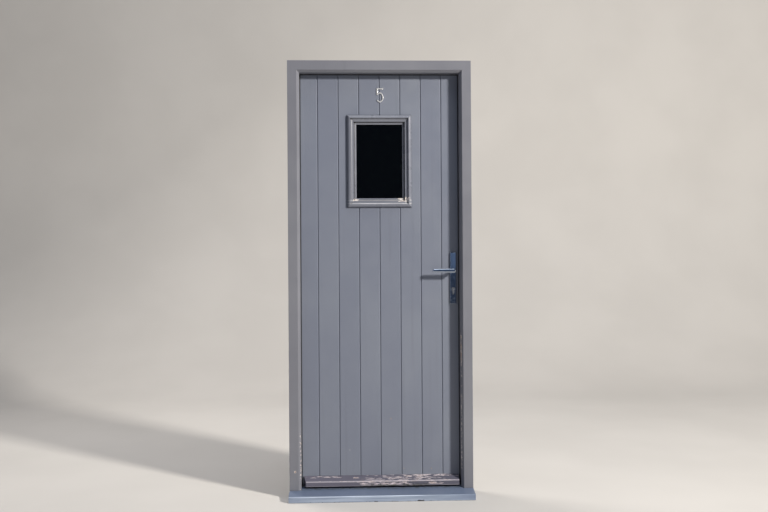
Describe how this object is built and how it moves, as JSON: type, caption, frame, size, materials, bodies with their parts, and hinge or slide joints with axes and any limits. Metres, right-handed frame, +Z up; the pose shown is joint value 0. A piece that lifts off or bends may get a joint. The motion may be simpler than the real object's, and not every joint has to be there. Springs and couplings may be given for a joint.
{
  "type": "single-leaf boarded front door with frame",
  "caption": "Inward-opening vertical-boarded door leaf with a small glazed light, hung in its rebated timber frame with a sloped sill and a weatherboard.",
  "frame": {"origin": "middle of the frame's width, on the outer face of the jambs, at the underside of the sill", "axes": "+X to the right as seen from the street, +Y into the house, +Z up"},
  "size_m": [0.897, 0.258, 2.1298],
  "materials": {
    "painted_softwood_frame": "slate grey gloss paint on softwood, weathered",
    "painted_softwood_sill": "slate grey gloss paint on hardwood, worn on the nose",
    "painted_boards": "slate grey gloss paint on boards",
    "painted_inner_boards": "slate grey gloss paint on boards",
    "painted_moulding": "slate grey gloss paint on softwood moulding",
    "painted_weatherboard": "slate grey paint, flaked to grey-pink bare wood",
    "core_timber": "planed softwood, unpainted",
    "core_insulation": "rigid foam",
    "seal_rubber": "matt black extruded rubber",
    "threshold_aluminium": "drawn aluminium, dull",
    "hinge_steel": "satin steel",
    "lock_steel": "satin steel",
    "screw_steel": "bright zinc-plated steel",
    "polished_chrome": "polished chrome plate",
    "lock_brass": "machined brass",
    "cylinder_nickel": "satin nickel plate",
    "clear_glass": "clear float glass",
    "spacer_aluminium": "mill finish aluminium",
    "painted_numeral": "pale grey paint on cast metal, dulled"
  },
  "bodies": {
    "frame": {"hinge_jamb": "painted_softwood_frame", "lock_jamb": "painted_softwood_frame", "head": "painted_softwood_frame", "sill": "painted_softwood_sill", "threshold_bar": "threshold_aluminium", "frame_seal": "seal_rubber", "keep_plate": "lock_steel", "keep_screws": "screw_steel", "hinge_frame_plate_1": "hinge_steel", "hinge_frame_plate_2": "hinge_steel", "hinge_frame_plate_3": "hinge_steel", "hinge_pins": "hinge_steel", "hinge_frame_screws": "screw_steel"},
    "leaf": {"outer_board_1": "painted_boards", "outer_board_2": "painted_boards", "outer_board_3": "painted_boards", "outer_board_4": "painted_boards", "outer_board_5": "painted_boards", "outer_board_6": "painted_boards", "outer_board_7": "painted_boards", "outer_board_8": "painted_boards", "inner_boards": "painted_inner_boards", "stile_hinge": "core_timber", "stile_lock": "core_timber", "rail_top": "core_timber", "rail_middle": "core_timber", "rail_bottom": "core_timber", "light_lining": "core_timber", "insulation": "core_insulation", "outer_bead_left": "painted_moulding", "outer_bead_right": "painted_moulding", "outer_bead_top": "painted_moulding", "outer_bead_bottom": "painted_moulding", "inner_beads": "painted_moulding", "glass_outer": "clear_glass", "glass_inner": "clear_glass", "glass_spacer": "spacer_aluminium", "weatherboard": "painted_weatherboard", "house_number": "painted_numeral", "outer_backplate": "polished_chrome", "inner_backplate": "polished_chrome", "plate_bolts": "screw_steel", "cylinder_body": "cylinder_nickel", "cylinder_screw": "screw_steel", "lock_case": "lock_steel", "faceplate": "lock_steel", "faceplate_screws": "screw_steel", "hinge_leaf_plate_1": "hinge_steel", "hinge_leaf_plate_2": "hinge_steel", "hinge_leaf_plate_3": "hinge_steel", "hinge_leaf_screws": "screw_steel"},
    "lever_set": {"outer_lever": "polished_chrome", "inner_lever": "polished_chrome", "spindle": "lock_steel", "follower": "lock_brass"},
    "latch": {"latch_bolt": "lock_brass"},
    "bolt": {"dead_bolt": "lock_brass"},
    "plug": {"cylinder_plug": "cylinder_nickel"}
  },
  "joints": [
    {"name": "door_swing", "type": "hinge", "parent": "frame", "child": "leaf", "pos_m": [-0.4085, 0.1215, 1.1], "axis": [0, 0, 1], "range_deg": [0, 105]},
    {"name": "lever_turn", "type": "hinge", "parent": "leaf", "child": "lever_set", "pos_m": [0.3615, 0.087, 1.10182], "axis": [0, -1, 0], "range_deg": [0, 40], "stiffness_Nm_per_rad": 1.5, "springref_deg": -28.65},
    {"name": "latch_slide", "type": "slide", "parent": "leaf", "child": "latch", "axis": [1, 0, 0], "range_m": [0, 0.012]},
    {"name": "cylinder_turn", "type": "hinge", "parent": "leaf", "child": "plug", "pos_m": [0.3615, 0.087, 1.00982], "axis": [0, -1, 0], "range_deg": [0, 360]},
    {"name": "dead_bolt_slide", "type": "slide", "parent": "leaf", "child": "bolt", "axis": [1, 0, 0], "range_m": [0, 0.02]}
  ],
  "couplings": [
    {"joint": "dead_bolt_slide", "follows": "cylinder_turn", "m_per_rad": 0.00318}
  ]
}
